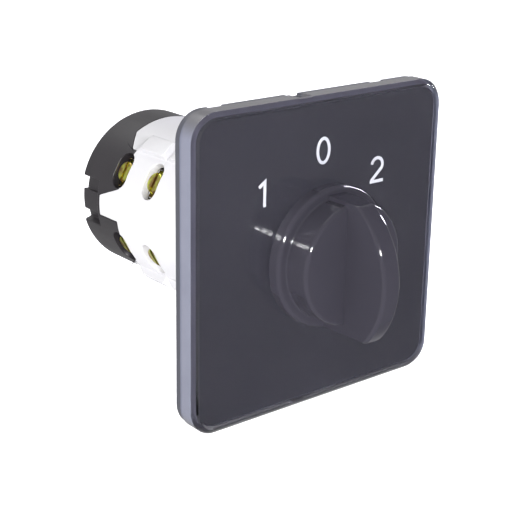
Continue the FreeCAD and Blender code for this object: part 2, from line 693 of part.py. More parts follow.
def cam(front_y):
    middle = front_y + CONTACT_PLANE
    outline = [clock_point(cam_radius(angle), angle) for angle in range(0, 360, 5)]
    disc = prism(outline, middle - CAM_THICKNESS / 2, middle + CAM_THICKNESS / 2)
    hub = rod(CAM_HUB_RADIUS, front_y + 0.3, front_y + STAGE_LENGTH - 0.2)
    return joined([disc, hub]).cut(square_bore())


def plunger(middle_y):
    tip_z = CAM_MID_RADIUS + CAM_CLEARANCE + PLUNGER_TIP_RADIUS
    front = middle_y - PLUNGER_HALF_DEPTH
    back = middle_y + PLUNGER_HALF_DEPTH
    tip = rod(PLUNGER_TIP_RADIUS, front, back, 0, tip_z)
    neck = box(-PLUNGER_TIP_RADIUS, PLUNGER_TIP_RADIUS, front, back, tip_z, tip_z + 1)
    shoulder = box(-PLUNGER_HALF_WIDTH, PLUNGER_HALF_WIDTH, front, back, tip_z + 0.6, BRIDGE_BOTTOM)
    stem = upright(STEM_RADIUS, BRIDGE_BOTTOM - 0.5, STEM_TOP, 0, middle_y)
    return joined([tip, neck, shoulder, stem])


def contact_bridge(middle_y):
    front = middle_y - BRIDGE_HALF_DEPTH
    back = middle_y + BRIDGE_HALF_DEPTH
    bar = box(-BRIDGE_HALF_LENGTH, BRIDGE_HALF_LENGTH, front, back, BRIDGE_BOTTOM, BRIDGE_TOP)
    rivets = [upright(RIVET_RADIUS, BRIDGE_BOTTOM - RIVET_HEIGHT, BRIDGE_BOTTOM + 0.2, x, middle_y)
              for x in (-RIVET_POSITION, RIVET_POSITION)]
    return joined([bar] + rivets).cut(upright(STEM_RADIUS + 0.1, 0, 20, 0, middle_y))


def contact_spring(middle_y):
    """A coil of eight-sided wire, lofted through sections a twelfth of a turn apart."""
    sides = 8
    steps = 12
    start = BRIDGE_TOP + SPRING_WIRE_RADIUS + 0.02
    height = CAVITY_RADIUS - SPRING_WIRE_RADIUS - 0.3 - start
    sections = []
    for step in range(SPRING_TURNS * steps + 1):
        around = 2 * math.pi * step / steps
        outward = Vector(math.cos(around), math.sin(around), 0)
        climb = start + height * step / (SPRING_TURNS * steps)
        centre = outward * SPRING_RADIUS + Vector(0, middle_y, climb)
        rim = []
        for side in range(sides):
            angle = 2 * math.pi * side / sides
            rise = Vector(0, 0, SPRING_WIRE_RADIUS * math.sin(angle))
            rim.append(centre + outward * (SPRING_WIRE_RADIUS * math.cos(angle)) + rise)
        sections.append(Part.makePolygon(rim + [rim[0]]))
    return Part.makeLoft(sections, True, True)


def fixed_contact(front_y):
    """The upper right one: a tip under the bridge, bent down to a flat under the terminal screw."""
    middle = front_y + CONTACT_PLANE
    screw_y = front_y + STAGE_LENGTH + TERMINAL_BEHIND_SEAM
    angle = math.radians(TERMINAL_ANGLES[0])
    along = (math.cos(angle), -math.sin(angle))
    centre = clock_point(PAD_PLATE_RADIUS, TERMINAL_ANGLES[0])
    upper = tuple(c - PAD_PLATE_HALF_LENGTH * a for c, a in zip(centre, along))
    lower = tuple(c + PAD_PLATE_HALF_LENGTH * a for c, a in zip(centre, along))
    points = [(FIXED_TIP_START, FIXED_TIP_HEIGHT), (FIXED_TIP_START + 3.0, FIXED_TIP_HEIGHT), upper, lower]
    front = middle - PLUNGER_HALF_DEPTH
    tongue = prism(strip_outline(points, FIXED_THICKNESS), front, middle + PLUNGER_HALF_DEPTH)
    flat = prism(strip_outline([upper, lower], FIXED_THICKNESS), front, screw_y + PAD_PLATE_HALF_WIDTH)
    hole = turn(upright(SCREW_SHANK_RADIUS + 0.05, 5, 20, 0, screw_y), TERMINAL_ANGLES[0])
    return joined([tongue, flat]).cut(hole)


def terminal_screws(seam_y):
    y = seam_y + TERMINAL_BEHIND_SEAM
    head = upright(SCREW_HEAD_RADIUS, SCREW_HEAD_BOTTOM, SCREW_HEAD_TOP, 0, y)
    head = head.makeFillet(0.4, [edge for edge in head.Edges if edge.BoundBox.ZMin > SCREW_HEAD_TOP - 0.01])
    shank = upright(SCREW_SHANK_RADIUS, SCREW_SHANK_END, SCREW_HEAD_BOTTOM, 0, y)
    slot_bottom = SCREW_HEAD_TOP - SCREW_SLOT_DEPTH
    slot = box(-4, 4, y - SCREW_SLOT / 2, y + SCREW_SLOT / 2, slot_bottom, SCREW_HEAD_TOP + 1)
    screw = joined([head, shank]).cut(slot)
    return Part.makeCompound([turn(screw, angle) for angle in TERMINAL_ANGLES])


def clamp_washers(seam_y):
    y = seam_y + TERMINAL_BEHIND_SEAM
    top = SCREW_HEAD_BOTTOM - 0.05
    plate = box(-CLAMP_HALF_LENGTH, CLAMP_HALF_LENGTH, y - CLAMP_HALF_WIDTH, y + CLAMP_HALF_WIDTH,
                top - CLAMP_THICKNESS, top)
    plate = plate.cut(upright(SCREW_SHANK_RADIUS + LOOSE_FIT, 0, 20, 0, y))
    return Part.makeCompound([turn(plate, angle) for angle in TERMINAL_ANGLES])


def save_stage(name, front_y, is_rear, front_cuts):
    seam_y = front_y + STAGE_LENGTH
    middle = front_y + CONTACT_PLANE
    save(name + "_stage_housing", stage_housing(front_y, is_rear, front_cuts))
    save(name + "_cam", cam(front_y))
    save(name + "_terminal_screws", terminal_screws(seam_y))
    save(name + "_clamp_washers", clamp_washers(seam_y))
    for level, is_lower in (("upper", False), ("lower", True)):
        half_turn = 180.0 if is_lower else 0.0
        save(name + "_plunger_" + level, turn(plunger(middle), half_turn))
        save(name + "_bridge_" + level, turn(contact_bridge(middle), half_turn))
        save(name + "_spring_" + level, turn(contact_spring(middle), half_turn))
        for side, is_left in (("right", False), ("left", True)):
            contact = mirrored(fixed_contact(front_y), is_left, is_lower)
            save(name + "_contact_" + level + "_" + side, contact)


os.makedirs("parts", exist_ok=True)

save("clear_cover", clear_cover())
save("legend_plate", legend_plate())
save("numerals", numerals())
save("base_plate", base_plate())
save("plate_screws", plate_screws())

save("knob", knob())
save("knob_set_screw", knob_set_screw())
save("shaft", shaft())

save("latch_housing", latch_housing())
save("latch_cover", latch_cover())
save("detent_wheel", detent_wheel())
save("detent_spring_upper", detent_spring())
save("detent_spring_lower", turn(detent_spring(), 180))
save("stop_disc", stop_disc())

save_stage("front", FRONT_STAGE_Y, False, False)
save_stage("rear", REAR_STAGE_Y, True, True)

save("end_housing", end_housing())
save("tie_bolts", tie_bolts())
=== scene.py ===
# %% [markdown]
# # A rotary battery switch for a boat's panel
# A square plate with a clear snap-on cover carries a dial marked 1, 0 and 2. A black knob with an
# arched grip turns a shaft, and behind the panel the shaft runs through a latch and two white
# contact stages to a black end housing. The moving and load-bearing shapes come from CAD. Here the
# pieces that show get the rounded edges and finishes that make them look like moulded parts.

# %% Load the frame
import math

import bpy
from mathutils import Matrix, Vector


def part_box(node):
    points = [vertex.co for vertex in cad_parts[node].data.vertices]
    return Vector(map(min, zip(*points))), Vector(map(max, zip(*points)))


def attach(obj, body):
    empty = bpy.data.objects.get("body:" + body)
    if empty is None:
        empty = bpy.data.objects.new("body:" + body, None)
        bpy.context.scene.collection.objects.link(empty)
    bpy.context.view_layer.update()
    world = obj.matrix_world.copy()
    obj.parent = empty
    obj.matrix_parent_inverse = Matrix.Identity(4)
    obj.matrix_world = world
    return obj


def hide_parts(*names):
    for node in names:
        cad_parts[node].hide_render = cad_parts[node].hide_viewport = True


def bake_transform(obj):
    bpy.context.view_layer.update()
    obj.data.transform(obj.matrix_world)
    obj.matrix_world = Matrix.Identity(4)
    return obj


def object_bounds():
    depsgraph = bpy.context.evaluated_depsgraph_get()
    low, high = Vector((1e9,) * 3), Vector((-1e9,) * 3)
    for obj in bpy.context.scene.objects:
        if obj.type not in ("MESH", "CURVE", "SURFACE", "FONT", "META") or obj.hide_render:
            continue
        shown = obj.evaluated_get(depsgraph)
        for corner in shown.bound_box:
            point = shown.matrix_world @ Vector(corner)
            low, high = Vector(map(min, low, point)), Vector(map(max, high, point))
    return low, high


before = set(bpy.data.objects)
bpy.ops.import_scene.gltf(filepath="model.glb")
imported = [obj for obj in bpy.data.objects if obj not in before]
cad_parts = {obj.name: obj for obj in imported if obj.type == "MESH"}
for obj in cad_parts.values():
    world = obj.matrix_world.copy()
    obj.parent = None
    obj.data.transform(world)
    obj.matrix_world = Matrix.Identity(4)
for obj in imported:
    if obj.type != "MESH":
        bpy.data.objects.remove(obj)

cad_bounds = [list(corner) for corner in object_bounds()]
MM = 0.001

# %% [markdown]
# ## Camera
# The camera comes first, because every later choice is judged through it. A long lens from the
# upper left shows the plate nearly square and the contact stages behind its left edge. The camera
# is built from a place, a point to look at and a slight tilt, so that each number can be read.

# %% Camera
CAMERA_PLACE = Vector((-165.76, -187.33, 83.58)) * MM
LOOK_AT = Vector((-10.05, 2.99, -0.87)) * MM
CAMERA_TILT = math.radians(0.91)
FOCAL_LENGTH_MM = 91.57
SENSOR_MM = 36.0
NEAREST_SEEN = 1 * MM


def add_camera():
    data = bpy.data.cameras.new("camera")
    data.lens = FOCAL_LENGTH_MM
    data.sensor_width = SENSOR_MM
    data.clip_start = NEAREST_SEEN
    camera = bpy.data.objects.new("camera", data)
    bpy.context.scene.collection.objects.link(camera)
    facing = (LOOK_AT - CAMERA_PLACE).to_track_quat("-Z", "Y")
    tilt = Matrix.Rotation(CAMERA_TILT, 4, "Z")
    camera.matrix_world = Matrix.Translation(CAMERA_PLACE) @ facing.to_matrix().to_4x4() @ tilt
    return camera


bpy.context.scene.camera = add_camera()
print("camera", [round(number, 3) for number in bpy.context.scene.camera.location])

# %% [markdown]
# ## Materials as sums
# Moulded plastic and plated metal are never one flat colour. Their colour, gloss and surface all
# drift a little, and that drift is worked out here with noise in the object's own coordinates.
# One class wraps a socket, so that shader maths can be written as ordinary expressions.

# %% Sockets that can be added and multiplied
class Value:
    """An output socket. Arithmetic on it adds Math nodes to its material."""

    def __init__(self, paint, socket):
        self.paint = paint
        self.socket = socket

    def math(self, operation, *values):
        return self.paint.node("ShaderNodeMath", {"operation": operation}, *values)

    def __add__(self, other):
        return self.math("ADD", self, other)

    def __radd__(self, other):
        return self.math("ADD", other, self)

    def __sub__(self, other):
        return self.math("SUBTRACT", self, other)

    def __rsub__(self, other):
        return self.math("SUBTRACT", other, self)

    def __mul__(self, other):
        return self.math("MULTIPLY", self, other)

    def __rmul__(self, other):
        return self.math("MULTIPLY", other, self)

    def __abs__(self):
        return self.math("ABSOLUTE", self)

    def ease(self, low, high):
        """0 below low, 1 above high and smooth between."""
        settings = {"interpolation_type": "SMOOTHSTEP"}
        return self.paint.node("ShaderNodeMapRange", settings, self, low, high, 0.0, 1.0)


print("Value:", Value.__doc__)

# %% [markdown]
# ## One class for every material
# A material is a shader and the nodes that feed it. Paint holds both, and has a method for each
# pattern that this switch needs: the place on the piece, noise, a mix of two colours, and bump.

# %% Paint
OBJECT_COORDINATES = 3
MIX_FACTOR, MIX_FIRST, MIX_SECOND = 0, 6, 7
MIX_RESULT = 2


class Paint:
    """A material or world, its main shader, and the methods that add nodes to it."""

    def __init__(self, name, owners=None, shader="Principled BSDF"):
        # An empty collection counts as false, so the test is for None.
        self.material = (bpy.data.materials if owners is None else owners).new(name)
        self.material.use_nodes = True
        self.tree = self.material.node_tree
        self.shader = self.tree.nodes[shader]

    def node(self, kind, settings=None, *inputs, output=0, **named):
        """Adds a node: its settings first, then the values or links of its sockets."""
        node = self.tree.nodes.new(kind)
        for key, value in (settings or {}).items():
            setattr(node, key, value)
        for socket, value in zip(node.inputs, inputs):
            self.feed(socket, value)
        for key, value in named.items():
            self.feed(node.inputs[key], value)
        return Value(self, node.outputs[output])

    def feed(self, socket, value):
        if isinstance(value, Value):
            self.tree.links.new(value.socket, socket)
        else:
            socket.default_value = value

    def set(self, **values):
        """Feeds the shader's sockets: Base_Color=..., Roughness=... and so on."""
        for key, value in values.items():
            self.feed(self.shader.inputs[key.replace("_", " ")], value)

    def place(self):
        """The point on the object, in metres."""
        return self.node("ShaderNodeTexCoord", output=OBJECT_COORDINATES)

    def axis(self, letter):
        return self.node("ShaderNodeSeparateXYZ", None, self.place(), output="XYZ".index(letter))

    def noise(self, size_mm, detail=3.0, stretch=(1, 1, 1)):
        """Noise from 0 to 1 whose blotches are about size_mm across."""
        point = self.node("ShaderNodeVectorMath", {"operation": "MULTIPLY"}, self.place(), stretch)
        scale = 1 / (size_mm * MM)
        return self.node("ShaderNodeTexNoise", Vector=point, Scale=scale, Detail=detail)

    def mix(self, factor, first, second):
        """A colour between two colours."""
        mixed = self.node("ShaderNodeMix", {"data_type": "RGBA"}, output=MIX_RESULT)
        sockets = mixed.socket.node.inputs
        self.feed(sockets[MIX_FACTOR], factor)
        self.feed(sockets[MIX_FIRST], first)
        self.feed(sockets[MIX_SECOND], second)
        return mixed

    def bump(self, height, depth_mm):
        distance = depth_mm * MM
        return self.node("ShaderNodeBump", None, Strength=1.0, Distance=distance, Height=height)


def grey(level):
    return (level, level, level, 1.0)


def shade(colour, factor):
    """A colour made lighter or darker."""
    return tuple(channel * factor for channel in colour[:3]) + (1.0,)


print("a half grey made darker", [round(channel, 2) for channel in shade(grey(0.5), 0.8)])

# %% [markdown]
# ## Floor and light
# The floor is pale and glows a little, so that it reads as white paper without a lamp of its own.
# It is kept out of reflections and out of the clear cover, which it would turn grey. The world is
# dim in front, so that the black face stays black, and brighter behind, where it fills the stages.
# Three panels do the rest. A small strong one near the camera's line draws the thin bright lines
# on gloss edges. The corner between the knob's drum and the clear window sends it straight back
# as a short white bar. A long cool strip from the right lights the knob's far edges, and a wide
# panel above lifts the top of the body.

# %% Floor and light
FLOOR_SIZE = 6.0
FLOOR_GAP = 0.5 * MM
FLOOR_TONE = 0.93
FLOOR_GLOW = 0.60
FLOOR_ROUGHNESS = 0.9
LIGHT_DISTANCE = 0.8
FRONT_LIGHT, BACK_LIGHT, SEEN_LIGHT = 0.08, 0.55, 0.95
BACK_BEGINS, BACK_FULL = -0.15, 0.45


def add_floor():
    lowest = cad_bounds[0][2] - FLOOR_GAP
    bpy.ops.mesh.primitive_plane_add(size=FLOOR_SIZE, location=(0, 0, lowest))
    floor = bpy.context.object
    floor.name = "floor"
    paint = Paint("pale_floor")
    paint.set(Base_Color=grey(FLOOR_TONE), Roughness=FLOOR_ROUGHNESS, Specular_IOR_Level=0.0)
    paint.set(Emission_Color=grey(1.0), Emission_Strength=FLOOR_GLOW)
    floor.data.materials.append(paint.material)
    floor.visible_glossy = False
    floor.visible_transmission = False


def add_world():
    """A world that is dim in front of the plate, brighter behind it, and pale where it is seen."""
    world = Paint("studio", bpy.data.worlds, "Background")
    direction = world.node("ShaderNodeTexCoord")
    depth = world.node("ShaderNodeSeparateXYZ", None, direction, output=1)
    light = FRONT_LIGHT + depth.ease(BACK_BEGINS, BACK_FULL) * (BACK_LIGHT - FRONT_LIGHT)
    is_seen = world.node("ShaderNodeLightPath")
    world.set(Color=grey(1.0), Strength=is_seen * SEEN_LIGHT + (1 - is_seen) * light)
    bpy.context.scene.world = world.material


def add_panel(name, direction, size, watts, along=(0, 0, 1), colour=(1, 1, 1)):
    """A light panel that faces the object, with its first side turned along a direction."""
    data = bpy.data.lights.new(name, "AREA")
    data.shape = "RECTANGLE"
    data.size, data.size_y = size
    data.energy = watts
    data.color = colour
    light = bpy.data.objects.new(name, data)
    away = Vector(direction).normalized()
    side = (Vector(along) - away * away.dot(Vector(along))).normalized()
    turn = Matrix((side, away.cross(side), away)).transposed().to_4x4()
    light.matrix_world = Matrix.Translation(away * LIGHT_DISTANCE) @ turn
    bpy.context.scene.collection.objects.link(light)


add_floor()
add_world()
add_panel("flash", direction=(-0.632, -0.712, 0.30), size=(0.07, 0.07), watts=8.6)
add_panel("violet_strip", direction=(0.90, -0.02, 0.38), size=(0.50, 0.06), watts=6.5,
          along=(0.19, 0.38, -0.48), colour=(0.86, 0.84, 1.0))
add_panel("top_panel", direction=(-0.1, 0.5, 0.85), size=(0.5, 0.5), watts=2)
bpy.context.scene.view_settings.view_transform = "Standard"

# %% [markdown]
# ## Moulded plastics
# Injection-moulded nylon has a fine spark-eroded grain, faint flow marks and a sheen that varies
# from place to place. One function makes them all, with its own colour, gloss and grain size.
# Drift is how far the colour wanders either way, and sheen how far the gloss does. The gloss
# plastic of the knob has almost no grain, and the printed legend under the window hardly shines.

# %% Moulded plastics
BLOTCH_MM = 9.0
FLOW_MM = 3.0
FLOW_STRETCH = (1, 0.25, 1)
BLOTCH_SHARE = 0.6
GRAIN_SHARE = 0.7
SOFT_DETAIL, BUSY_DETAIL = 2.0, 4.0
NOISE_MIDDLE = 0.5


def moulded(name, colour, roughness, grain_mm, grain_depth, drift, sheen=0.06):
    """A moulded plastic: blotches and flow marks in its colour, fine grain in its surface."""
    paint = Paint(name)
    blotches = paint.noise(BLOTCH_MM, SOFT_DETAIL)
    grain = paint.noise(grain_mm, SOFT_DETAIL)
    flow = paint.noise(FLOW_MM, BUSY_DETAIL, FLOW_STRETCH)
    tone = blotches * BLOTCH_SHARE + flow * (1 - BLOTCH_SHARE)
    paint.set(Base_Color=paint.mix(tone, shade(colour, 1 - drift), shade(colour, 1 + drift)))
    gloss_drift = (flow - NOISE_MIDDLE) * sheen * 2 + (grain - NOISE_MIDDLE) * sheen
    paint.set(Roughness=roughness + gloss_drift)
    paint.set(Normal=paint.bump(grain * GRAIN_SHARE + flow * (1 - GRAIN_SHARE), grain_depth))
    return paint


white_plastic = moulded("white_nylon", (0.62, 0.615, 0.635), roughness=0.42,
                        grain_mm=0.35, grain_depth=0.006, drift=0.03)
black_plastic = moulded("black_nylon", (0.020, 0.0175, 0.021), roughness=0.42,
                        grain_mm=0.3, grain_depth=0.008, drift=0.25, sheen=0.10)
base_plastic = moulded("grey_base", (0.062, 0.064, 0.080), roughness=0.40,
                       grain_mm=0.3, grain_depth=0.006, drift=0.2, sheen=0.08)
knob_plastic = moulded("knob_gloss", (0.038, 0.036, 0.047), roughness=0.06,
                       grain_mm=0.6, grain_depth=0.0004, drift=0.06, sheen=0.02)
legend_sheet = moulded("legend_sheet", (0.020, 0.0195, 0.025), roughness=0.55,
                       grain_mm=1.5, grain_depth=0.00002, drift=0.05, sheen=0.005)
legend_sheet.set(Specular_IOR_Level=0.2)
numeral_print = moulded("numeral_print", (0.50, 0.50, 0.53), roughness=0.5,
                        grain_mm=0.15, grain_depth=0.001, drift=0.03)
cam_plastic = moulded("red_cam", (0.42, 0.05, 0.03), roughness=0.38,
                      grain_mm=0.3, grain_depth=0.004, drift=0.15)
plunger_plastic = moulded("natural_nylon", (0.62, 0.58, 0.46), roughness=0.40,
                          grain_mm=0.3, grain_depth=0.004, drift=0.08)
print("plastics", len(bpy.data.materials), "materials so far")

# %% [markdown]
# ## Metals
# Plated steel shows fine drawn lines and dulled patches. The terminal screws are yellow
# passivated, so their colour wanders between greenish brass and brown. The contact strips are
# brass that darkens in patches.

# %% Metals
DRAWN_LINE_MM = 0.6
DRAWN_LINE_DEPTH_MM = 0.006
PATCH_EDGE = (0.35, 0.65)
LINES_DULL, PATCHES_DULL = 0.16, 0.08


def plated(name, colour, dulled, roughness, lines=(1, 12, 12), patch_mm=1.6):
    """A metal dulled in patches, with fine drawn lines along one axis."""
    paint = Paint(name)
    patches = paint.noise(patch_mm).ease(*PATCH_EDGE)
    drawn = paint.noise(DRAWN_LINE_MM, BUSY_DETAIL, lines)
    paint.set(Metallic=1.0)
    paint.set(Base_Color=paint.mix(patches, shade(colour, 1), shade(dulled, 1)))
    paint.set(Roughness=roughness + drawn * LINES_DULL + patches * PATCHES_DULL)
    paint.set(Normal=paint.bump(drawn, DRAWN_LINE_DEPTH_MM))
    return paint


zinc_steel = plated("zinc_steel", (0.60, 0.61, 0.62), (0.46, 0.47, 0.50), roughness=0.22)
spring_steel = plated("spring_steel", (0.42, 0.43, 0.45), (0.30, 0.30, 0.33), roughness=0.20)
yellow_zinc = plated("yellow_zinc", (0.62, 0.66, 0.12), (0.36, 0.22, 0.09), roughness=0.24,
                     lines=(6, 6, 1), patch_mm=1.4)
contact_brass = plated("contact_brass", (0.72, 0.50, 0.22), (0.50, 0.33, 0.14), roughness=0.24)
print("metals", [paint.material.name for paint in (zinc_steel, spring_steel, yellow_zinc,
                                                    contact_brass)])

# %% [markdown]
# ## Clear cover
# The cover is one clear moulding, so it is a dielectric that bends light. Its index here is 1.49,
# that of acrylic. Polycarbonate has 1.58 and would shine a little more. The side walls are faintly
# milky where the mould is textured, which is why they look pale violet grey while the window, over
# the black legend, looks nearly black. The top and bottom walls are painted darker, as painted
# shade for the weaker light that falls on them, and the wall darkens towards its back edge as
# painted shade where it meets the base plate. Both are set by where a point lies on the piece.

# %% Clear plastic
TOP_SHADE_FADE = (27 * MM, 31 * MM)
BACK_SHADE_FADE = (-2.6 * MM, -1.4 * MM)
BACK_SHADE_SHARE = 0.8
PALE_WALL = ((0.155, 0.162, 0.212, 1), (0.20, 0.208, 0.265, 1))
# Painted shade: the darker tone given to the top and bottom walls.
TOP_BOTTOM_SHADE = ((0.105, 0.103, 0.114, 1), (0.14, 0.138, 0.152, 1))
# Painted shade: the darker tone along the wall's back edge, next to the base plate.
BACK_EDGE_SHADE = (0.085, 0.092, 0.14, 1)
WINDOW_TINTS = ((0.90, 0.91, 0.95, 1), (0.97, 0.97, 0.99, 1))
WINDOW_IOR = 1.49
WINDOW_HAZE_MM = 14.0
WINDOW_HAZE_EDGE = (0.3, 0.8)
WINDOW_ROUGHNESS = 0.03
WALL_HAZE_MM = 6.0
WALL_GRAIN_MM = 0.3
WALL_GRAIN_DEPTH_MM = 0.003
WALL_ROUGHNESS, WALL_ROUGHNESS_DRIFT = 0.18, 0.08


def clear_plastic():
    paint = Paint("clear_polycarbonate")
    haze = paint.noise(WINDOW_HAZE_MM)
    paint.set(Transmission_Weight=1.0, IOR=WINDOW_IOR)
    paint.set(Base_Color=paint.mix(haze, *WINDOW_TINTS))
    paint.set(Roughness=haze.ease(*WINDOW_HAZE_EDGE) * WINDOW_ROUGHNESS)
    return paint


def milky_shaded_plastic():
    paint = Paint("milky_shaded_polycarbonate")
    haze = paint.noise(WALL_HAZE_MM)
    grain = paint.noise(WALL_GRAIN_MM, SOFT_DETAIL)
    # Painted shade: the top and bottom walls are made darker by their height on the piece.
    top_shade = abs(paint.axis("Z")).ease(*TOP_SHADE_FADE)
    # Painted shade: the wall darkens towards its back edge, where it meets the base plate.
    back_shade = paint.axis("Y").ease(*BACK_SHADE_FADE) * (1 - top_shade)
    wall = paint.mix(top_shade, paint.mix(haze, *PALE_WALL), paint.mix(haze, *TOP_BOTTOM_SHADE))
    paint.set(Base_Color=paint.mix(back_shade * BACK_SHADE_SHARE, wall, BACK_EDGE_SHADE))
    paint.set(Roughness=WALL_ROUGHNESS + grain * WALL_ROUGHNESS_DRIFT)
    paint.set(Normal=paint.bump(grain, WALL_GRAIN_DEPTH_MM))
    return paint


clear_window = clear_plastic()
milky_shaded_wall = milky_shaded_plastic()
# Painted shade: the inner side of the wall is the wall plastic made dark.
shaded_wall_inside = moulded("shaded_wall_inside", (0.085, 0.083, 0.110), roughness=0.3,
                      grain_mm=0.5, grain_depth=0.001, drift=0.15, sheen=0.02)
print("milky wall", len(milky_shaded_wall.tree.nodes), "nodes")

# %% [markdown]
# ## Finishes on the CAD pieces
# Most pieces inside the switch are right as they come from CAD. They keep their shape and get the
# finish of the real material, by name.

# %% Finishes by piece
STAGES = ("front", "rear")
LEVELS = ("upper", "lower")
SIDES = ("left", "right")

finishes = {
    "legend_plate": legend_sheet,
    "numerals": numeral_print,
    "base_plate": base_plastic,
    "plate_screws": zinc_steel,
    "knob": knob_plastic,
    "knob_set_screw": zinc_steel,
    "shaft": zinc_steel,
    "latch_housing": black_plastic,
    "latch_cover": black_plastic,
    "detent_wheel": plunger_plastic,
    "detent_spring_upper": spring_steel,
    "detent_spring_lower": spring_steel,
    "stop_disc": zinc_steel,
    "end_housing": black_plastic,
    "tie_bolts": zinc_steel,
    "clear_cover": clear_window,
}
for stage in STAGES:
    finishes[stage + "_stage_housing"] = white_plastic
    finishes[stage + "_cam"] = cam_plastic
    finishes[stage + "_terminal_screws"] = yellow_zinc
    finishes[stage + "_clamp_washers"] = yellow_zinc
    for level in LEVELS:
        finishes[stage + "_plunger_" + level] = plunger_plastic
        finishes[stage + "_bridge_" + level] = contact_brass
        finishes[stage + "_spring_" + level] = spring_steel
        for side in SIDES:
            finishes[stage + "_contact_" + level + "_" + side] = contact_brass

for name, paint in finishes.items():
    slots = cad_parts[name].data.materials
    if len(slots) == 0:
        slots.append(paint.material)
    for index in range(len(slots)):
        slots[index] = paint.material
print("finished", len(finishes), "of", len(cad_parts), "nodes")

# %% [markdown]
# ## Primitives to start from
# Every new piece starts from a block or a cylinder. Each is added at its real size and place, and
# that place is then applied, so the object itself sits at the origin and only its mesh has a
# place. An operator works on all that is selected, so everything is deselected first.

# %% Primitives
def pick(piece):
    """Leaves edit mode and selects one piece alone."""
    if bpy.context.object and bpy.context.object.mode != "OBJECT":
        bpy.ops.object.mode_set(mode="OBJECT")
    bpy.ops.object.select_all(action="DESELECT")
    if piece is not None:
        piece.select_set(True)
        bpy.context.view_layer.objects.active = piece


def apply_place(piece):
    pick(piece)
    bpy.ops.object.transform_apply(location=True, rotation=True, scale=True)
    return piece


def add_block(low, high):
    """A cube primitive between two corners, with its size in its mesh."""
    pick(None)
    low, high = Vector(low), Vector(high)
    bpy.ops.mesh.primitive_cube_add(size=1, location=(low + high) / 2, scale=high - low)
    return apply_place(bpy.context.object)


def add_cylinder(radius, start, end, vertices):
    """A cylinder primitive between two points."""
    pick(None)
    start, end = Vector(start), Vector(end)
    along = end - start
    turn = along.to_track_quat("Z", "Y").to_euler()
    bpy.ops.mesh.primitive_cylinder_add(vertices=vertices, radius=radius, depth=along.length,
                                        location=(start + end) / 2, rotation=turn)
    return apply_place(bpy.context.object)


print("the object's box is", [round((high - low) / MM, 1) for low, high in zip(*cad_bounds)], "mm")

# %% [markdown]
# ## Choosing faces and edges
# By hand, a face or an edge is clicked. Here it is found by where it lies: a test looks at each
# face, or at the two ends of each edge, and edit mode opens with those that pass selected.

# %% Choosing faces and edges
TOUCH = 0.01 * MM
MARGIN = 0.1 * MM
FLAT = 0.9


def choose(piece, kind, test):
    """Enters edit mode with the faces or edges selected that pass the test."""
    pick(piece)
    mesh = piece.data
    bpy.ops.object.mode_set(mode="EDIT")
    bpy.ops.mesh.select_mode(type=kind)
    bpy.ops.mesh.select_all(action="DESELECT")
    bpy.ops.object.mode_set(mode="OBJECT")
    if kind == "FACE":
        for face in mesh.polygons:
            face.select = bool(test(face))
    else:
        for edge in mesh.edges:
            edge.select = bool(test(*(mesh.vertices[index].co for index in edge.vertices)))
    bpy.ops.object.mode_set(mode="EDIT")


def leave_edit():
    bpy.ops.object.mode_set(mode="OBJECT")


def bevel_edges(piece, test, width, segments):
    """Bevels the edges that pass the test."""
    choose(piece, "EDGE", test)
    bpy.ops.mesh.bevel(offset=width, segments=segments)
    leave_edit()


def push(distance_y):
    """Extrudes the selected faces along the shaft."""
    bpy.ops.mesh.extrude_region_move(TRANSFORM_OT_translate={"value": (0, distance_y, 0)})


print("edges within", round(TOUCH / MM, 3), "mm count as touching")

# %% [markdown]
# ## Cutting, rounding and handing over
# A boolean cuts a hole or joins two solids. A mould leaves no edge sharp, so a bevel modifier
# rounds the sharp ones, and the rest is shaded smooth with normals that keep flat faces flat.
# Its clamp stops a bevel where the shortest edge is used up. On a busy mesh that leaves hardly
# any bevel at all, so the housings go without it. A finished piece is then tied to its body.

# %% Cutting, rounding and handing over
SOFT_SEGMENTS = 2


def cut_away(piece, tool, operation="DIFFERENCE"):
    """Cuts a tool out of a piece, or joins it on, then removes the tool."""
    pick(piece)
    modifier = piece.modifiers.new("cut", "BOOLEAN")
    modifier.object = tool
    modifier.operation = operation
    modifier.solver = "MANIFOLD"
    bpy.ops.object.modifier_apply(modifier=modifier.name)
    bpy.data.objects.remove(tool, do_unlink=True)


def smooth(piece, angle):
    """Shades gentle edges smooth, with normals that keep the flat faces flat."""
    pick(piece)
    bpy.ops.object.shade_smooth_by_angle(angle=math.radians(angle))
    flatten = piece.modifiers.new("flatten", "WEIGHTED_NORMAL")
    flatten.keep_sharp = True
    bpy.ops.object.modifier_apply(modifier=flatten.name)


def soften(piece, width, angle, clamp):
    """Rounds the edges sharper than an angle with a bevel, then shades the rest smooth."""
    pick(piece)
    modifier = piece.modifiers.new("soften", "BEVEL")
    modifier.width = width
    modifier.segments = SOFT_SEGMENTS
    modifier.limit_method = "ANGLE"
    modifier.use_clamp_overlap = clamp
    modifier.angle_limit = math.radians(angle)
    bpy.ops.object.modifier_apply(modifier=modifier.name)
    smooth(piece, angle)


def dress(piece, *paints):
    piece.data.materials.clear()
    for paint in paints:
        piece.data.materials.append(paint.material)


def hand_over(piece, name, body, node):
    """Names a finished piece, ties it to its body and hides the CAD node it stands for."""
    pick(None)
    piece.name = name
    piece.data.name = name
    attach(piece, body)
    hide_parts(node)
    print(name, len(piece.data.polygons), "faces")


print("a softened edge gets", SOFT_SEGMENTS, "segments")

# %% [markdown]
# ## The clear cover
# The cover is a shallow square tray turned face outwards. It could be cut from a solid block by
# booleans alone, but insetting and extruding the back face gives an even wall all round, as the
# mould does. Only the hole for the shaft and the two pry slots are cut by tools.

